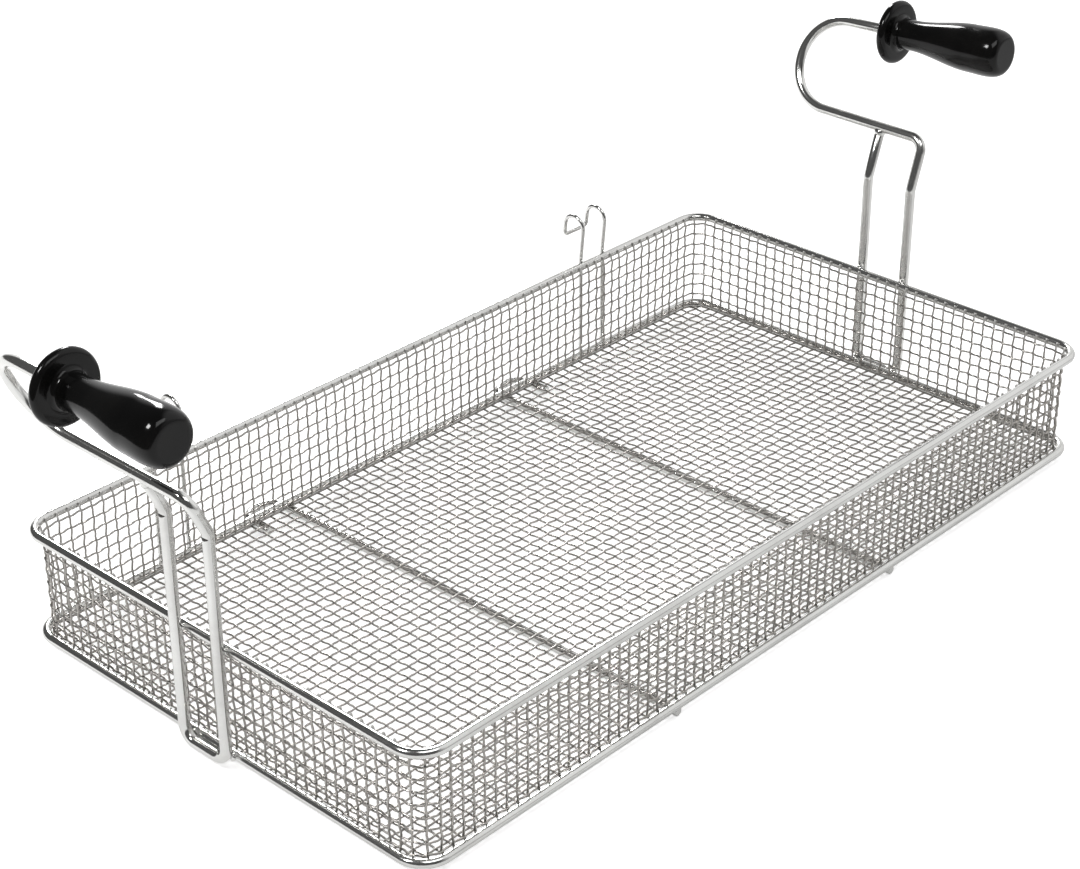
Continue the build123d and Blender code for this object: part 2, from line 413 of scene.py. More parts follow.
def grip_line(side):
    """The half round bend, the middle of the grip's back face, and which way the grip points.

    The half round bend lies in a leaning plane and stops a little short of half a circle, so its end is
    centre + radius * (rearward * sin(rise) + outward * cos(rise)), and the grip points along
    outward * sin(rise) - rearward * cos(rise).
    """
    radius, rise = return_radii[side], return_rises[side]
    outward = np.array([side * math.sin(return_lean), 0.0, math.cos(return_lean)])
    rearward = np.array([0.0, 1.0, 0.0])
    _, run_z = handle_heights(side)
    start = np.array([side * run_x, handle_runs[side], run_z])
    angle = np.linspace(0, math.pi - rise, return_points)[:, None]
    bend = start + radius * (rearward * np.sin(angle) + outward * (1 - np.cos(angle)))
    along = outward * math.sin(rise) - rearward * math.cos(rise)
    return bend, bend[-1] + along * grip_setbacks[side], along


def handle_route(side):
    """The handle from the rod's end in the grip to the weld, as a line with all its bends."""
    bend, grip_back, along = grip_line(side)
    crank_z, run_z = handle_heights(side)
    foot_z = bottom_middle[2] - foot_drop
    downward = unit(np.array([leg_x - run_x, 0, crank_z - run_z]))
    leg_end = np.array([run_x, leg_half, run_z]) + downward * (handle_radius + leg_stop)
    turns = np.array([
        (run_x, handle_runs[side], run_z),
        (run_x, -leg_half, run_z),
        (leg_x, -leg_half, crank_z),
        (leg_x, -leg_half, foot_z),
        (leg_x, leg_half, foot_z),
        (leg_x, leg_half, crank_z),
        leg_end,
    ])
    bends = [handle_bend, crank_bend, handle_bend, handle_bend, crank_bend]
    lower = bent_line(turns * (side, 1, 1), bends)
    return np.concatenate([[grip_back + along * rod_in_grip], bend[::-1], lower[1:]])


for hand, side in hands.items():
    open_rod(hand + "_handle_steel", hand + "_handle_rod", handle_route(side), handle_radius)

# %% [markdown]
# The weld under the straight run is a bead with a wavy skin. It is a ball whose radius goes up and down
# in a few waves, so it needs no sculpting and gives the same bead each time.

# %% Weld beads
bead_radius = 3.6 * MM
long_wave, short_wave = 0.03, 0.02


def ball_grid(first_polar, rings, sides):
    """Both angles of a ball's grid, and the direction for each pair of them.

    The direction is (sin(polar) * cos(turn), sin(polar) * sin(turn), cos(polar)). The first ring and the
    last lie a little away from the poles, where a flat face closes the ball.
    """
    polar = np.linspace(first_polar, math.pi - first_polar, rings)[:, None]
    turn = np.linspace(0, 2 * math.pi, sides, endpoint=False)[None]
    parts = np.sin(polar) * np.cos(turn), np.sin(polar) * np.sin(turn), np.cos(polar)
    return polar, turn, np.stack(np.broadcast_arrays(*parts), -1)


def weld_bead(side, node):
    """A ball round the second leg's end, whose wave crests just reach the bead's radius.

    Its radius is bead radius * (1 - both wave heights + both waves * sin(polar)), where the long wave is
    sin(3 * turn + 2 * polar) and the short one sin(5 * turn - 3 * polar).
    """
    route = handle_route(side)
    middle = route[-1] + unit(route[-1] - route[-2]) * leg_stop
    polar, turn, direction = ball_grid(first_polar=0.05, rings=17, sides=24)
    wave = long_wave * np.sin(3 * turn + 2 * polar) + short_wave * np.sin(5 * turn - 3 * polar)
    radius = bead_radius * (1 - long_wave - short_wave + wave * np.sin(polar))
    rings = middle + radius[..., None] * direction
    return dress(grid_piece(node + "_bead", rings[::-1]), node, "rod_steel")


for hand, side in hands.items():
    weld_bead(side, hand + "_handle_rod")

# %% [markdown]
# Where a leg crosses a rim the two rods were pressed together and spot welded, and a little steel was
# squeezed out round the place. A flat ball between the rods gives that without cutting into either.
# All those of one handle are one mesh, because the first axis of the array counts them.

# %% Weld nuggets
nugget_radii = np.array([1.1, 2.5, 2.3]) * MM
nugget_wave = 0.05


def leg_nuggets(side, node):
    """One nugget for each leg on each rim: middle + radii * (1 + wave * sin(polar)) * direction."""
    touch_x = side * (rim_half[0] + rim_radius + weld_gap / 2)
    heights = (bottom_middle[2], top_middle[2])
    middles = np.array([(touch_x, y, z) for y in (-leg_half, leg_half) for z in heights])
    polar, turn, direction = ball_grid(first_polar=0.02, rings=9, sides=14)
    wave = nugget_wave * np.sin(4 * turn + 3 * polar) * np.sin(polar)
    rings = middles[:, None, None] + nugget_radii * (1 + wave[..., None]) * direction
    return dress(grid_piece(node + "_nuggets", rings[:, ::-1]), node, "rod_steel")


for hand, side in hands.items():
    leg_nuggets(side, hand + "_handle_rod")

# %% [markdown]
# Each leg has a short mark on its outer side, just below the bend, where the jaws held it while it was
# cranked. Its dark colour is painted shade, standing in for the dent's shadow. A dark patch in the steel's
# material would do, but it would have to be placed by numbers in the shader. A low strip laid over a part
# of the leg's turn is part of the mesh as well, and a dark material of its own paints that shade on it.

# %% Jaw marks
mark_width = 1.8 * MM
mark_turn = math.radians(100)
mark_lift = 0.06 * MM
mark_depth = 0.1 * MM
mark_below = 2.2 * MM
mark_points = 9
mark_sides = 10


def jaw_marks(side, node):
    """A low strip on each leg, which follows the rod's skin over a part of a turn.

    Its middle line is leg + (rod radius + lift) * (cos(turn), sin(turn)). The ring round it is an oval,
    up * cos(angle) * half width + outward * sin(angle) * depth, and it shrinks to both ends as a sine.
    """
    facing = math.pi if side < 0 else 0.0
    turn = np.linspace(-mark_turn / 2, mark_turn / 2, mark_points) + facing
    outward = np.stack([np.cos(turn), np.sin(turn), np.zeros(mark_points)], -1)
    height = handle_heights(side)[0] - mark_below
    legs = np.array([(side * leg_x, -leg_half, height), (side * leg_x, leg_half, height)])
    line = legs[:, None] + outward * (handle_radius + mark_lift)
    angle = np.linspace(0, 2 * math.pi, mark_sides, endpoint=False)[:, None]
    up = np.array([0.0, 0.0, 1.0])
    oval = up * np.cos(angle) * mark_width / 2 + outward[:, None] * np.sin(angle) * mark_depth
    taper = np.sin(np.linspace(0.15, math.pi - 0.15, mark_points))[:, None, None]
    rings = line[:, :, None] + oval * taper
    return dress(grid_piece(node + "_jaw_marks", rings), node, "rod_steel")


dark_marks = [jaw_marks(side, hand + "_handle_rod") for hand, side in hands.items()]

# %% [markdown]
# The hooks are hairpins of thinner wire, welded to both rims of the rear wall. Their legs arch outward
# over the rail that the basket hangs on, and a crossbar joins them. Each hook is one rod, so one list of
# places serves for the first leg, and the same list backwards for the second.

# %% Hooks
hook_radius = 1.25 * MM
hook_lean = 2.6 * MM
arch_height = 90 * MM
arch_width = 14.5 * MM
tip_drop = 14.5 * MM
tip_spread = 1.5 * MM
hook_bends = [30 * MM, 7 * MM, 7 * MM, 3 * MM]


def hook_wire(node):
    """The hook's route: up one leg, over the arch, across the bar and back."""
    low, high = node_corners(node)
    inner_x, outer_x = low[0] + hook_radius, high[0] - hook_radius
    leg_y = rim_half[1] + rim_radius + weld_gap + hook_radius
    near_y = leg_y - hook_lean
    far_y = near_y + arch_width
    arch_z = bottom_middle[2] + arch_height
    leg = [
        (leg_y, low[2]),
        (leg_y, top_middle[2] + rim_radius),
        (near_y, arch_z),
        (far_y, arch_z),
        (far_y + tip_spread, arch_z - tip_drop),
    ]
    route = [(inner_x, y, z) for y, z in leg] + [(outer_x, y, z) for y, z in reversed(leg)]
    line = bent_line(route, hook_bends + hook_bends[::-1])
    return open_rod(node + "_wire", node, line, hook_radius, (1.0, 1.0, 1.0))


for hand in hands:
    hook_wire(hand + "_hook")

# %% [markdown]
# The mesh is woven from wire that was crimped first, so each wire goes over one neighbour and under the
# next, and between them it runs nearly straight. Its height above the middle of the cloth is
# crimp * cos(pi * distance / pitch) cubed, which gives short kinks at the crossings, and every second
# wire starts half a wave later. The neighbour also holds it a little to one side, so between two
# crossings it sways by sway * sin(2 * pi * distance / pitch). Drawing a bump on a flat grid would lose
# the knots that catch the light in the photograph, so the wires are real: a few hundred of them, each
# with six sides.

# %% Woven wires
wire_sides = 6
steps_in_pitch = 4
crimp_height = 0.75 * wire_radius
sway = 0.25 * MM
floor_wander = 0.12 * MM
wall_wander = 0.1 * MM
shortest_wave, longest_wave = 0.09, 0.22
second_wave = 0.6
rng = np.random.default_rng(12)


def slow_wave(wires, distance, height):
    """A gentle sideways wander of each wire: height * (sin(first) + part * sin(second)).

    Both are long waves, 2 * pi * distance / length + phase, and every wire draws its own two lengths and
    two phases.
    """
    phase = rng.uniform(0, 2 * math.pi, (2, wires, 1))
    length = rng.uniform(shortest_wave, longest_wave, (2, wires, 1))
    first, second = np.sin(2 * math.pi * distance / length + phase)
    return height * (first + second_wave * second)


def crimped(distance, pitch, phase):
    """Height of a crimped wire above the middle of the cloth, its slope, and its sideways sway.

    The height is crimp * cos(angle) cubed, so its slope is -3 * crimp * wave * cos(angle) squared *
    sin(angle). The sway has twice the angle and is nothing at a crossing.
    """
    wave = math.pi / pitch
    angle = wave * distance + phase
    slope = -3 * crimp_height * wave * np.cos(angle) ** 2 * np.sin(angle)
    return crimp_height * np.cos(angle) ** 3, slope, sway * np.sin(2 * angle)


def floor_wires(name, run_axis):
    """All the wires of the floor that run one way, each cut to the rounded outline.

    A wire at a distance d from the middle, past the start of the corner, is shorter by
    corner - sqrt(corner^2 - (d - start)^2). Its wander dies out towards both ends, as 1 - part^6.
    """
    across_axis = 1 - run_axis
    half_run, half_across = mesh_half[run_axis], mesh_half[across_axis]
    count = int((half_across - 3 * wire_radius) // mesh_pitch)
    number = np.arange(-count, count + 1)
    across = (number * mesh_pitch)[:, None]
    past = np.clip(np.abs(across) - (half_across - mesh_corner), 0, mesh_corner)
    reach = half_run - wire_radius - mesh_corner + np.sqrt(mesh_corner**2 - past**2)
    rings_count = int(2 * half_run / mesh_pitch * steps_in_pitch) + 1
    run = np.linspace(-1, 1, rings_count)[None] * reach
    phase = number[:, None] * math.pi + (math.pi if run_axis else 0)
    height, slope, swing = crimped(run, mesh_pitch, phase)
    wander = (slow_wave(len(number), run, floor_wander) + swing) * (1 - (run / reach) ** 6)
    place = np.zeros(run.shape + (3,))
    place[..., run_axis] = run
    place[..., across_axis] = across + wander
    place[..., 2] = floor_middle[2] + height
    tangent = np.zeros_like(place)
    tangent[..., run_axis] = 1
    tangent[..., 2] = slope
    side_a = np.zeros_like(place)
    side_a[..., across_axis] = 1
    rings = tube_rings(place, side_a, np.cross(unit(tangent), side_a), wire_radius, wire_sides)
    return dress(grid_piece(name, rings), "floor_mesh", "mesh_wire")


floor_wires("floor_long_wires", 0)
floor_wires("floor_short_wires", 1)

# %% [markdown]
# Where a woven panel is cut, its ends would scratch and fray, so one more wire runs round the outline
# and every cut end meets it. It isn't crimped, so it is a closed rod like the rims, only thinner.

# %% Edge of the floor
edge_corner_steps = 12
edge_side_steps = 10

edge_rings = loop_rings(
    mesh_half - wire_radius, mesh_corner - wire_radius, floor_middle[2], wire_radius, wire_sides,
    edge_corner_steps, edge_side_steps,
)
dress(grid_piece("floor_edge_wire", edge_rings, closed=True), "floor_mesh", "mesh_wire")

# %% [markdown]
# The wall is one strip of the same cloth, bent round the four corners. Its level wires follow the
# rounded outline, pushed out and in by the crimp, and its upright wires stand on it. The number of
# uprights is even, so the over and under pattern closes where the strip meets itself. The top end of
# each upright is bent over the inner side of the rim and welded there. These ends are given a paler colour,
# so they are a piece of their own, and they break the rim's dark reflection into dashes.

# %% Level wires of the wall
wall_half = mesh_half - 2 * wire_radius
wall_corner = mesh_corner - 2 * wire_radius
wall_length = loop_length(wall_half, wall_corner)
upright_count = 2 * round(wall_length / mesh_pitch / 2)
upright_pitch = wall_length / upright_count
level_heights = np.arange(wall_low[2] + 2 * wire_radius, wall_high[2] - 3 * wire_radius, mesh_pitch)


def wall_levels():
    """The level wires: loops whose outward push is crimped along their length."""
    count = upright_count * steps_in_pitch
    marks = np.arange(count) * wall_length / count
    place, tangent, outward = along_loop(marks, wall_half, wall_corner)
    number = np.arange(len(level_heights))[:, None]
    push, slope, swing = crimped(marks, upright_pitch, number * math.pi)
    wander = slow_wave(len(level_heights), marks, wall_wander)
    rise = wander * np.sin(math.pi * marks / wall_length) ** 2 + swing
    line = flat(place[None] + outward[None] * push[..., None], level_heights[:, None] + rise)
    forward = unit(flat(tangent[None] + outward[None] * slope[..., None]))
    side_a = np.broadcast_to([0.0, 0.0, 1.0], line.shape)
    rings = tube_rings(line, side_a, np.cross(forward, side_a), wire_radius, wire_sides)
    return dress(grid_piece("wall_level_wires", rings, closed=True), "wall_mesh", "mesh_wire")


wall_levels()

# %% [markdown]
# An upright has two parts in its route. Up to the rim it is crimped as the level wires are, only half a
# wave later. Over the rim its middle keeps to a circle round the rim's own middle. A smooth step between
# the two keeps the bend soft. The slope of the sum is measured from the finished line, because a
# formula for it would be longer than the shape is worth.

# %% Upright wires
end_rise = 1.9 * MM
bend_half = 2 * MM
bend_rings = 6
rim_clearance = 0.05 * MM
# The circle is followed up to this part of its radius. Higher up it would turn too steeply inward.
highest_part = 0.8
# The wires and their welded ends share two rings, so that no gap shows.
weld_overlap = 2
pressed_wider = 1.06


def smooth_step(value, start, end):
    """Nothing before the start and one past the end, with 3 * t^2 - 2 * t^3 between them."""
    t = np.clip((value - start) / (end - start), 0, 1)
    return t * t * (3 - 2 * t)


def over_rim(rise):
    """Outward push that keeps a wire on the inner side of the rim.

    The wire's middle stays at reach = both radii and a hair from the rim's middle, so at a height z
    above it the wire is sqrt(reach^2 - z^2) away from the rim's middle line.
    """
    reach = rim_radius + wire_radius + rim_clearance
    above = np.clip(rise - top_middle[2], 0, reach * highest_part)
    return rim_half[0] - wall_half[0] - np.sqrt(reach**2 - above**2)


def upright_rings():
    """Rings of the upright wires: each stands on the outline, pushed the other way from the level wires.

    The push is crimp * (1 - over) + rim push * over, where over goes from nothing to one at the rim. The
    sideways wander is scaled by sqrt(sin(pi * part)), so that both ends stand where the pattern has them.
    """
    marks = np.arange(upright_count) * upright_pitch
    place, tangent, outward = along_loop(marks, wall_half, wall_corner)
    number = np.arange(upright_count)[:, None]
    low, high = wall_low[2], top_middle[2] + end_rise
    bend_start = top_middle[2] - bend_half
    straight_rings = int((bend_start - low) / mesh_pitch * steps_in_pitch) + 1
    below = np.linspace(low, bend_start, straight_rings)[:-1]
    rise = np.concatenate([below, np.linspace(bend_start, high, bend_rings)])[None]
    push, _, swing = crimped(rise - level_heights[0], mesh_pitch, (number + 1) * math.pi)
    over = smooth_step(rise, bend_start - bend_half, bend_start + bend_half)
    push = push * (1 - over) + over_rim(rise) * over
    slope = np.gradient(push, axis=1) / np.gradient(rise, axis=1)
    ends = np.sin(math.pi * np.clip((rise - low) / (high - low), 0.0, 1.0)) ** 0.5
    wander = (slow_wave(upright_count, rise, wall_wander) + swing) * ends
    flat_line = place[:, None] + outward[:, None] * push[..., None] + tangent[:, None] * wander[..., None]
    line = flat(flat_line, rise)
    forward = unit(flat(outward[:, None] * slope[..., None], 1.0))
    side_a = np.broadcast_to(flat(tangent)[:, None], line.shape)
    return tube_rings(line, side_a, np.cross(forward, side_a), wire_radius, wire_sides)


def wall_uprights():
    """The upright wires up to the bend, and their welded ends, a little wider from the electrode."""
    rings = upright_rings()
    dress(grid_piece("wall_upright_wires", rings[:, :1 - bend_rings]), "wall_mesh", "mesh_wire")
    ends = rings[:, 1 - bend_rings - weld_overlap:]
    middles = ends.mean(axis=2, keepdims=True)
    pressed = middles + (ends - middles) * pressed_wider
    return dress(grid_piece("wall_welded_ends", pressed), "wall_mesh", "mesh_wire")


welded_ends = wall_uprights()

# %% [markdown]
# A grip has a turned shape, so it is a profile carried round an axis. The profile goes from the collar
# over the finger guard and the neck to the bulb, and closes over the flat end. A Screw modifier would
# carry it round as well. The rings are used again here, because they take the grip's own axis, which
# leans with the handle. Its edges are short arcs, since a moulding has no sharp ones.

# %% Grip profile
grip_length = 78 * MM
guard_radius = 18.7 * MM
guard_thickness = 6 * MM
guard_edge = 2.5 * MM
collar_radius = 12.5 * MM
collar_thickness = 1.5 * MM
neck_radius = 9 * MM
neck_fillet = 3 * MM
neck_end = 15 * MM
bulb_radius = 13.9 * MM
bulb_place = 56 * MM
end_radius = 8.5 * MM
edge_round = 0.35 * MM
grip_sides = 64
edge_points, fillet_points, guard_points, neck_points, bulb_points = 6, 10, 17, 30, 26


def hermite(start, end, start_slope, end_slope, count):
    """Cubic between two points of the profile, with the given directions as long as the chord.

    It is start * (2t^3 - 3t^2 + 1) + first * (t^3 - 2t^2 + t) + end * (3t^2 - 2t^3) + last * (t^3 - t^2).
    """
    t = np.linspace(0, 1, count)[:, None]
    start, end = np.array(start), np.array(end)
    chord = np.linalg.norm(end - start)
    first, last = np.array(start_slope) * chord, np.array(end_slope) * chord
    return (
        start * (2 * t**3 - 3 * t**2 + 1)
        + first * (t**3 - 2 * t**2 + t)
        + end * (3 * t**2 - 2 * t**3)
        + last * (t**3 - t**2)
    )


def arc_profile(centre, radius, first_degrees, last_degrees, count):
    """Arc of the profile: centre + (radius_out * cos(angle), radius_along * sin(angle))."""
    angle = np.radians(np.linspace(first_degrees, last_degrees, count))[:, None]
    return np.array(centre) + np.array(radius) * np.concatenate([np.cos(angle), np.sin(angle)], 1)


def grip_profile():
    """Distances from the axis and along it, from the collar's flat face to the flat end.

    The guard's rim is an arc that bows out by its sag, so its radius is
    (half thickness^2 + sag^2) / (2 * sag).
    """
    guard_middle = guard_thickness / 2
    bow = (guard_middle**2 + guard_edge**2) / (2 * guard_edge)
    bow_angle = math.degrees(math.asin(guard_middle / bow))
    fillet_centre = (neck_radius + neck_fillet, guard_thickness + neck_fillet)
    collar_out, collar_in = collar_radius - edge_round, collar_radius + edge_round
    collar_back = edge_round - collar_thickness
    pieces = [
        np.array([[collar_radius - 2 * edge_round, -collar_thickness]]),
        arc_profile((collar_out, collar_back), (edge_round, edge_round), -90, 0, edge_points),
        arc_profile((collar_in, -edge_round), (-edge_round, edge_round), 0, 90, edge_points),
        np.array([[guard_radius - guard_edge - edge_round, 0.0]]),
        arc_profile((guard_radius - bow, guard_middle), (bow, bow), -bow_angle, bow_angle, guard_points),
        np.array([[neck_radius + neck_fillet + edge_round, guard_thickness]]),
        arc_profile(fillet_centre, (-neck_fillet, -neck_fillet), 90, 0, fillet_points),
        hermite((neck_radius, neck_end), (bulb_radius, bulb_place), (0, 1), (0, 1), neck_points),
        hermite((bulb_radius, bulb_place), (end_radius, grip_length), (0, 1), (-1, 0), bulb_points)[1:],
    ]
    return np.concatenate(pieces)


def turned_grip(side, node):
    """The profile carried round the grip's axis: back + along * distance, and a circle across it."""
    _, grip_back, along = grip_line(side)
    profile = grip_profile()
    line = grip_back + along * profile[:, 1:]
    across = unit(np.cross(along, [0.0, 0.0, 1.0]))
    side_a = np.broadcast_to(across, line.shape)
    side_b = np.broadcast_to(np.cross(along, across), line.shape)
    rings = tube_rings(line, side_a, side_b, profile[:, 0], grip_sides)
    return dress(grid_piece(node + "_moulding", rings), node, "grip_plastic")


for hand, side in hands.items():
    turned_grip(side, hand + "_grip")

# %% [markdown]
# Two effects are needed by more than one finish: the lines of a drawn rod, and the film that handling
# leaves. Each is a node group that gives a mask, built once, and the materials use it with values of
# their own. Their nodes could be copied into every material, but then one change would be six.

# %% Helpers for shader nodes


def new_group(name, inputs, outputs):
    """An empty shader group with named inputs and outputs."""
    group = bpy.data.node_groups.new(name, "ShaderNodeTree")
    for label, kind, value in inputs:
        socket = group.interface.new_socket(label, in_out="INPUT", socket_type=kind)
        if kind == "NodeSocketFloat":
            socket.default_value = value
    for label, kind in outputs:
        group.interface.new_socket(label, in_out="OUTPUT", socket_type=kind)
    return group, group.nodes.new("NodeGroupInput"), group.nodes.new("NodeGroupOutput")


def math_node(tree, operation, first, second):
    """A math node; each operand is a number or the output of another node."""
    node = tree.nodes.new("ShaderNodeMath")
    node.operation = operation
    for socket, value in zip(node.inputs, (first, second)):
        if isinstance(value, (int, float)):
            socket.default_value = value
        else:
            tree.links.new(value, socket)
    return node.outputs[0]


# %% [markdown]
# A rod is pulled through a die, and the die's pits leave fine lines along it. An anisotropic shader
# blurs highlights in the same way, but it shows no single lines. So the group reads a noise that is
# squeezed round the rod, through the map that every tube carries, and the materials use it as a bump.

# %% Draw lines
along_scale = 12.0


def draw_line_group():
    """Lines along a rod: noise read at (along * scale, radius * cos(angle), radius * sin(angle)).

    The radius is so large, compared with the scale along the rod, that the noise is squeezed round the
    rod and stretched along it. Its ends meet, because the angle goes once round.
    """
    group, given, out = new_group(
        "draw_lines",
        [("Rod Map", "NodeSocketVector", None), ("Lines Round", "NodeSocketFloat", 60.0)],
        [("Lines", "NodeSocketFloat")],
    )
    split = group.nodes.new("ShaderNodeSeparateXYZ")
    join = group.nodes.new("ShaderNodeCombineXYZ")
    noise = group.nodes.new("ShaderNodeTexNoise")
    group.links.new(given.outputs["Rod Map"], split.inputs[0])
    angle = math_node(group, "MULTIPLY", split.outputs[1], 2 * math.pi)
    cosine = math_node(group, "COSINE", angle, 0.0)
    sine = math_node(group, "SINE", angle, 0.0)
    radius = math_node(group, "MULTIPLY", given.outputs["Lines Round"], 1 / (2 * math.pi))
    group.links.new(math_node(group, "MULTIPLY", split.outputs[0], along_scale), join.inputs[0])
    group.links.new(math_node(group, "MULTIPLY", cosine, radius), join.inputs[1])
    group.links.new(math_node(group, "MULTIPLY", sine, radius), join.inputs[2])
    noise.inputs["Scale"].default_value = 1.0
    noise.inputs["Detail"].default_value = 4.0
    group.links.new(join.outputs[0], noise.inputs["Vector"])
    group.links.new(noise.outputs["Fac"], out.inputs["Lines"])
    return group


draw_lines = draw_line_group()
print("group:", draw_lines.name)

# %% [markdown]
# Hot fat and hands leave some places of the steel duller and a little darker than others. Two noises
# make that: a broad one says where the patches are, and a finer one breaks them up inside. It is read
# from the place on the object, so it runs on from one piece to the next as real dirt does.

# %% Handling film
patch_start, patch_full = 0.42, 0.68
fine_times = 9.0


def handling_group():
    """Dull places left by handling: broad noise, sharpened into patches, times a finer noise."""
    group, given, out = new_group(
        "handling_film",
        [("Place", "NodeSocketVector", None), ("Patch Size", "NodeSocketFloat", 30.0)],
        [("Film", "NodeSocketFloat")],
    )
    broad = group.nodes.new("ShaderNodeTexNoise")
    fine = group.nodes.new("ShaderNodeTexNoise")
    for noise, detail in ((broad, 3.0), (fine, 6.0)):
        noise.inputs["Detail"].default_value = detail
        group.links.new(given.outputs["Place"], noise.inputs["Vector"])
    group.links.new(given.outputs["Patch Size"], broad.inputs["Scale"])
    fine_scale = math_node(group, "MULTIPLY", given.outputs["Patch Size"], fine_times)
    group.links.new(fine_scale, fine.inputs["Scale"])
    spread = group.nodes.new("ShaderNodeMapRange")
    spread.inputs["From Min"].default_value = patch_start
    spread.inputs["From Max"].default_value = patch_full
    group.links.new(broad.outputs["Fac"], spread.inputs["Value"])
    film = math_node(group, "MULTIPLY", spread.outputs[0], fine.outputs["Fac"])
    group.links.new(film, out.inputs["Film"])
    return group


handling_film = handling_group()
print("group:", handling_film.name)

# %% [markdown]
# A material here starts with its colour and roughness, and then a mask moves both between two values.
# An image could do that too, but a pattern of nodes has no edge and no seam, and it stays sharp in a
# close view. These few helpers keep each material below down to what is its own.

# %% Helpers for materials


def base_material(name, colour, metallic, roughness):
    """A material with its main shader set, and the places that patterns are measured from."""
    material = bpy.data.materials.new(name)
    material.use_nodes = True
    tree = material.node_tree
    shader = tree.nodes["Principled BSDF"]
    shader.inputs["Base Color"].default_value = (*colour, 1)
    shader.inputs["Metallic"].default_value = metallic
    shader.inputs["Roughness"].default_value = roughness
    return material, tree, shader, tree.nodes.new("ShaderNodeTexCoord")


def group_node(tree, group, **values):
    """A group placed in a material, with some of its inputs set."""
    node = tree.nodes.new("ShaderNodeGroup")
    node.node_tree = group
    for label, value in values.items():
        node.inputs[label.replace("_", " ")].default_value = value
    return node


def blended(tree, mask, low, high):
    """A value that goes from low to high with a mask."""
    node = tree.nodes.new("ShaderNodeMapRange")
    node.inputs["To Min"].default_value = low
    node.inputs["To Max"].default_value = high
    tree.links.new(mask, node.inputs["Value"])
    return node.outputs[0]


def blended_colour(tree, mask, low, high):
    """A colour that goes from low to high with a mask."""
    node = tree.nodes.new("ShaderNodeMix")
    node.data_type = "RGBA"
    node.inputs["A"].default_value = (*low, 1)
    node.inputs["B"].default_value = (*high, 1)
    tree.links.new(mask, node.inputs["Factor"])
    return node.outputs["Result"]


def film_mask(tree, places, patch_size):
    """The handling film, measured from the piece's own place."""
    film = group_node(tree, handling_film, Patch_Size=patch_size)
    tree.links.new(places.outputs["Object"], film.inputs["Place"])
    return film.outputs["Film"]


def filmed_material(name, patch_size, metallic, colours, roughness):
    """A material whose colour and roughness follow the handling film, each between two values."""
    material, tree, shader, places = base_material(name, colours[0], metallic, roughness[0])
    mask = film_mask(tree, places, patch_size)
    tree.links.new(blended_colour(tree, mask, *colours), shader.inputs["Base Color"])
    tree.links.new(blended(tree, mask, *roughness), shader.inputs["Roughness"])
    return material, tree, shader, places


def bumped(tree, shader, height, strength, depth):
    """Tilt the surface by a height that is depth metres deep at full strength."""
    bump = tree.nodes.new("ShaderNodeBump")
    bump.inputs["Strength"].default_value = strength
    bump.inputs["Distance"].default_value = depth
    tree.links.new(height, bump.inputs["Height"])
    tree.links.new(bump.outputs["Normal"], shader.inputs["Normal"])


# %% [markdown]
# Four of the finishes are one steel. The rods are bright and nearly white, the mesh wire is greyer and
# more satin, because it was annealed before it was woven. The jaw marks are dark, which is painted shade,
# and the wires' welded ends are paler and matt. One function makes all four, since only their values
# differ. The lines only tilt the surface a little across the rod.

# %% Steel


def steel(name, light, dull, roughness, lines_round, line_depth):
    """Drawn steel: colour and roughness follow the handling film, the surface follows the lines."""
    material, tree, shader, places = filmed_material(
        name, patch_size=22.0, metallic=1.0, colours=(light, dull), roughness=roughness
    )
    lines = group_node(tree, draw_lines, Lines_Round=lines_round)
    tree.links.new(places.outputs["UV"], lines.inputs["Rod Map"])
    bumped(tree, shader, lines.outputs["Lines"], strength=0.5, depth=line_depth)
    return material


rod_finish = steel(
    "bright_rod", light=(0.72, 0.72, 0.705), dull=(0.56, 0.555, 0.54),
    roughness=(0.13, 0.28), lines_round=60.0, line_depth=0.02 * MM,
)
wire_finish = steel(
    "mesh_wire", light=(0.43, 0.412, 0.39), dull=(0.29, 0.275, 0.256),
    roughness=(0.25, 0.42), lines_round=30.0, line_depth=0.01 * MM,
)
# Painted shade: the jaw marks' dark colour stands in for the shadow in their dent.
jaw_mark_shade_finish = steel(
    "jaw_mark", light=(0.10, 0.095, 0.09), dull=(0.04, 0.038, 0.035),
    roughness=(0.45, 0.7), lines_round=30.0, line_depth=0.02 * MM,
)
# A paler, matter steel for the ends of the upright wires over the rim.
pale_end_finish = steel(
    "pale_wire_ends", light=(0.68, 0.67, 0.655), dull=(0.56, 0.55, 0.535),
    roughness=(0.45, 0.6), lines_round=30.0, line_depth=0.01 * MM,
)
print("steel:", rod_finish.name, wire_finish.name, jaw_mark_shade_finish.name, pale_end_finish.name)

# %% [markdown]
# The grips are a hard black moulding. A black surface shows only its shine, so what makes it look like
# plastic is a low specular level, a little unevenness that breaks the edge of each highlight, and a
# faint film where hands have been. The bush inside each grip is brass. It is hidden, but its mesh is
# part of the model, so it gets a finish too.

# %% Moulding and brass


def plastic():
    """Glossy black moulding: film in colour and roughness, and a fine noise as its bump."""
    colours = (0.003, 0.003, 0.003), (0.008, 0.0075, 0.007)
    material, tree, shader, places = filmed_material(
        "black_moulding", patch_size=45.0, metallic=0.0, colours=colours, roughness=(0.10, 0.22)
    )
    shader.inputs["Specular IOR Level"].default_value = 0.25
    noise = tree.nodes.new("ShaderNodeTexNoise")
    noise.inputs["Scale"].default_value = 160.0
    tree.links.new(places.outputs["Object"], noise.inputs["Vector"])
    bumped(tree, shader, noise.outputs["Fac"], strength=0.15, depth=0.05 * MM)
    return material


def brass():
    """Turned brass: one colour, and a roughness that follows the handling film."""
    material, tree, shader, places = base_material("turned_brass", (0.78, 0.58, 0.26), 1.0, 0.25)
    mask = film_mask(tree, places, patch_size=80.0)
    tree.links.new(blended(tree, mask, 0.2, 0.4), shader.inputs["Roughness"])
    return material


grip_finish = plastic()
brass_finish = brass()
print("others:", grip_finish.name, brass_finish.name)

# %% [markdown]
# Each piece already names the slot of the record that it takes its finish from, so the finishes are
# given out by slot. The marks and the welded ends share a slot with their neighbours and come first.

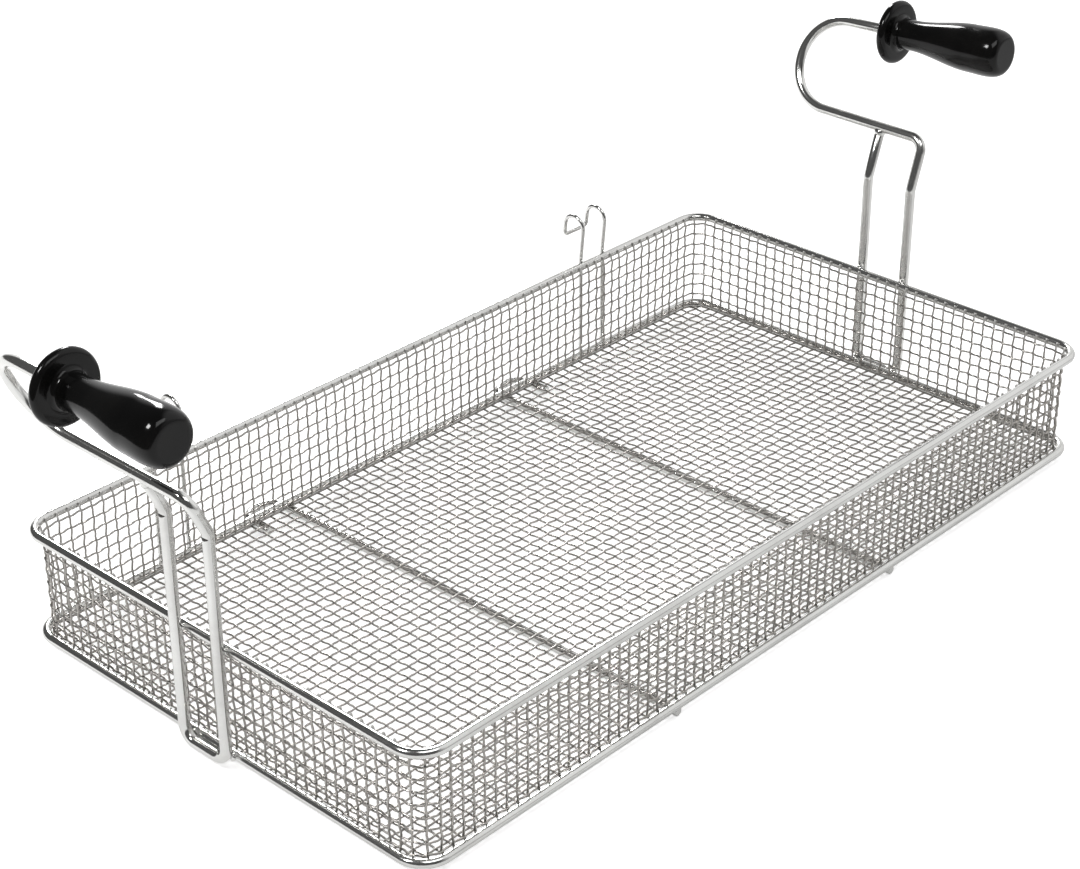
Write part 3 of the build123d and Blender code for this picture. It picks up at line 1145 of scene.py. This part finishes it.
# %% Finishes given out
slot_finishes = {"rod_steel": rod_finish, "mesh_wire": wire_finish, "grip_plastic": grip_finish}
own_finishes = {dark_marks[0]: jaw_mark_shade_finish, dark_marks[1]: jaw_mark_shade_finish, welded_ends: pale_end_finish}


def paint(piece, material):
    """Give a piece one material."""
    piece.data.materials.clear()
    piece.data.materials.append(material)


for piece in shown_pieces():
    finish = own_finishes.get(piece, slot_finishes.get(piece.get("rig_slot"), brass_finish))
    paint(piece, finish)
    print(piece.name, finish.name)

# %% [markdown]
# Polished steel shows its surroundings more than itself, and the photograph tells what they were: white
# paper under and behind the basket, a wide white card on the right, and a dark room on the left, which
# draws the black lines along the handles. The world paints those cards as soft round patches, each one
# strong where a direction is close to the card's own. The camera itself sees only white.

# %% World


def toward(azimuth_degrees, elevation_degrees):
    """Unit direction; azimuth 0 is the front of the basket and 90 its right end."""
    azimuth, elevation = math.radians(azimuth_degrees), math.radians(elevation_degrees)
    return (
        math.sin(azimuth) * math.cos(elevation),
        -math.cos(azimuth) * math.cos(elevation),
        math.sin(elevation),
    )


def soft_card(tree, direction, centre, inner_degrees, outer_degrees, strength):
    """Brightness of a round card: full inside the inner angle and nothing past the outer one."""
    dot = tree.nodes.new("ShaderNodeVectorMath")
    dot.operation = "DOT_PRODUCT"
    dot.inputs[1].default_value = centre
    tree.links.new(direction, dot.inputs[0])
    spread = tree.nodes.new("ShaderNodeMapRange")
    spread.interpolation_type = "SMOOTHSTEP"
    spread.inputs["From Min"].default_value = math.cos(math.radians(outer_degrees))
    spread.inputs["From Max"].default_value = math.cos(math.radians(inner_degrees))
    spread.inputs["To Max"].default_value = strength
    tree.links.new(dot.outputs["Value"], spread.inputs["Value"])
    return spread.outputs[0]


room_level = 0.10
# Name and direction, the angle inside which a card is full, the angle past which it is gone, strength.
cards = [
    ("right card", toward(68, 34), 24, 50, 0.97),
    ("right wall", toward(55, 8), 25, 62, 0.55),
    ("paper behind", toward(128, 0), 24, 48, 1.0),
    ("paper below", toward(0, -90), 40, 62, 0.85),
]

world = bpy.data.worlds.new("studio")
bpy.context.scene.world = world
world.use_nodes = True
sky_tree = world.node_tree
sky = sky_tree.nodes["Background"]
direction = sky_tree.nodes.new("ShaderNodeTexCoord").outputs["Generated"]
brightness = room_level
for card_name, centre, inner, outer, strength in cards:
    glow = soft_card(sky_tree, direction, centre, inner, outer, strength)
    brightness = math_node(sky_tree, "MAXIMUM", glow, brightness)
    print(card_name, "towards", [round(part, 2) for part in centre])
is_camera = sky_tree.nodes.new("ShaderNodeLightPath").outputs["Is Camera Ray"]
sky_tree.links.new(math_node(sky_tree, "MAXIMUM", is_camera, brightness), sky.inputs["Strength"])
sky.inputs["Color"].default_value = (1, 1, 1, 1)

# %% [markdown]
# The photograph's floor is pure white, and still the basket has to stand on something and darken it a
# little. A shadow catcher would need a see-through background. Here the paper is a real surface with a
# soft shadow, lifted to white by a glow that only the camera sees. The steel mirrors it too: the dark
# lines along the legs and the rims are the room past the paper's left edge and the dim paper in front,
# so the glow that a mirror sees grows from the front to the rear.

# %% Floor
floor_reach = 6.0
floor_left = -0.78
paper_colour = (0.9, 0.9, 0.9, 1)
seen_glow = 0.58
mirrored_glow = 0.26
glow_front, glow_rear = -0.22, 0.02


def paper_material():
    """White paper whose glow is the larger of two: seen * camera ray, and mirrored * glossy ray * lit.

    The value lit goes smoothly from nothing at the front line to one at the rear line, along Y.
    """
    material = bpy.data.materials.new("white_sweep")
    material.use_nodes = True
    tree = material.node_tree
    shader = tree.nodes["Principled BSDF"]
    shader.inputs["Base Color"].default_value = paper_colour
    shader.inputs["Roughness"].default_value = 1.0
    shader.inputs["Specular IOR Level"].default_value = 0.0
    shader.inputs["Emission Color"].default_value = (1, 1, 1, 1)
    path = tree.nodes.new("ShaderNodeLightPath")
    mirrored = math_node(tree, "MAXIMUM", path.outputs["Is Glossy Ray"], path.outputs["Is Transmission Ray"])
    seen = math_node(tree, "MULTIPLY", path.outputs["Is Camera Ray"], seen_glow)
    split = tree.nodes.new("ShaderNodeSeparateXYZ")
    tree.links.new(tree.nodes.new("ShaderNodeTexCoord").outputs["Object"], split.inputs[0])
    lit = tree.nodes.new("ShaderNodeMapRange")
    lit.interpolation_type = "SMOOTHSTEP"
    lit.inputs["From Min"].default_value = glow_front
    lit.inputs["From Max"].default_value = glow_rear
    lit.inputs["To Max"].default_value = mirrored_glow
    tree.links.new(split.outputs["Y"], lit.inputs["Value"])
    glow = math_node(tree, "MAXIMUM", seen, math_node(tree, "MULTIPLY", mirrored, lit.outputs[0]))
    tree.links.new(glow, shader.inputs["Emission Strength"])
    return material


def white_floor():
    """The paper under the basket: one flat face, which ends a little to the left of the basket."""
    paper_corners = [
        (floor_left, -floor_reach, 0),
        (floor_reach, -floor_reach, 0),
        (floor_reach, floor_reach, 0),
        (floor_left, floor_reach, 0),
    ]
    mesh = bpy.data.meshes.new("studio_floor")
    mesh.from_pydata(paper_corners, [], [(0, 1, 2, 3)])
    piece = bpy.data.objects.new("studio_floor", mesh)
    bpy.context.scene.collection.objects.link(piece)
    paint(piece, paper_material())
    print("floor from x", floor_left, "to", floor_reach)


white_floor()

# %% [markdown]
# Three white cards light the basket. The rear one draws the long highlight on top of both grips, and the
# upper left one the small square near the near grip's end, and both were placed by that. A point lamp
# would give a dot there and hard shadows. The front card is weak and only fills.

# %% Lamps
lamp_target = (0.0, 0.0, 0.1)
# Name, azimuth, elevation and distance from the basket, then width, height and power in watts.
lamps = [
    ("rear_card", 142, 30, 4.0, 0.55, 1.5, 68),
    ("upper_left_card", -103, 49, 3.0, 0.58, 0.58, 36),
    ("front_card", -20, 62, 2.0, 1.2, 0.8, 9),
]


def lamp_card(name, azimuth, elevation, distance, width, height, power):
    """An area lamp of the card's size, at that distance in that direction, facing the target."""
    data = bpy.data.lights.new(name, "AREA")
    data.shape = "RECTANGLE"
    data.size, data.size_y = width, height
    data.energy = power
    lamp = bpy.data.objects.new(name, data)
    lamp.location = Vector(toward(azimuth, elevation)) * distance
    away = lamp.location - Vector(lamp_target)
    lamp.rotation_euler = away.to_track_quat("Z", "Y").to_euler()
    bpy.context.scene.collection.objects.link(lamp)
    print(name, "at", tuple(round(part, 2) for part in lamp.location))


for lamp_values in lamps:
    lamp_card(*lamp_values)

# %% [markdown]
# The camera was found from the straight edges of the rims in the photograph: its direction, its
# distance and its lens put the four corners of both rims where they are there. Its three axes are
# worked out here and put into a matrix, which leaves no doubt about the order of its turns.

# %% Camera
camera_azimuth = -46.664
camera_elevation = 29.235
camera_roll = math.radians(-0.309)
camera_distance = 1.4157
camera_target = np.array([0.0621, 0.0916, bottom_middle[2]])
camera_lens = 80.509

back = np.array(toward(camera_azimuth, camera_elevation))
level = unit(np.cross([0.0, 0.0, 1.0], back))
upright = np.cross(back, level)
right = math.cos(camera_roll) * level + math.sin(camera_roll) * upright
up = -math.sin(camera_roll) * level + math.cos(camera_roll) * upright
stand = camera_target + camera_distance * back
turn_and_place = np.eye(4)
turn_and_place[:3] = np.stack([right, up, back, stand], axis=1)

camera_data = bpy.data.cameras.new("camera")
camera_data.lens = camera_lens
camera = bpy.data.objects.new("camera", camera_data)
camera.matrix_world = Matrix(turn_and_place.tolist())
bpy.context.scene.collection.objects.link(camera)
bpy.context.scene.camera = camera
bpy.context.scene.view_settings.view_transform = "Standard"
print("camera at", stand)
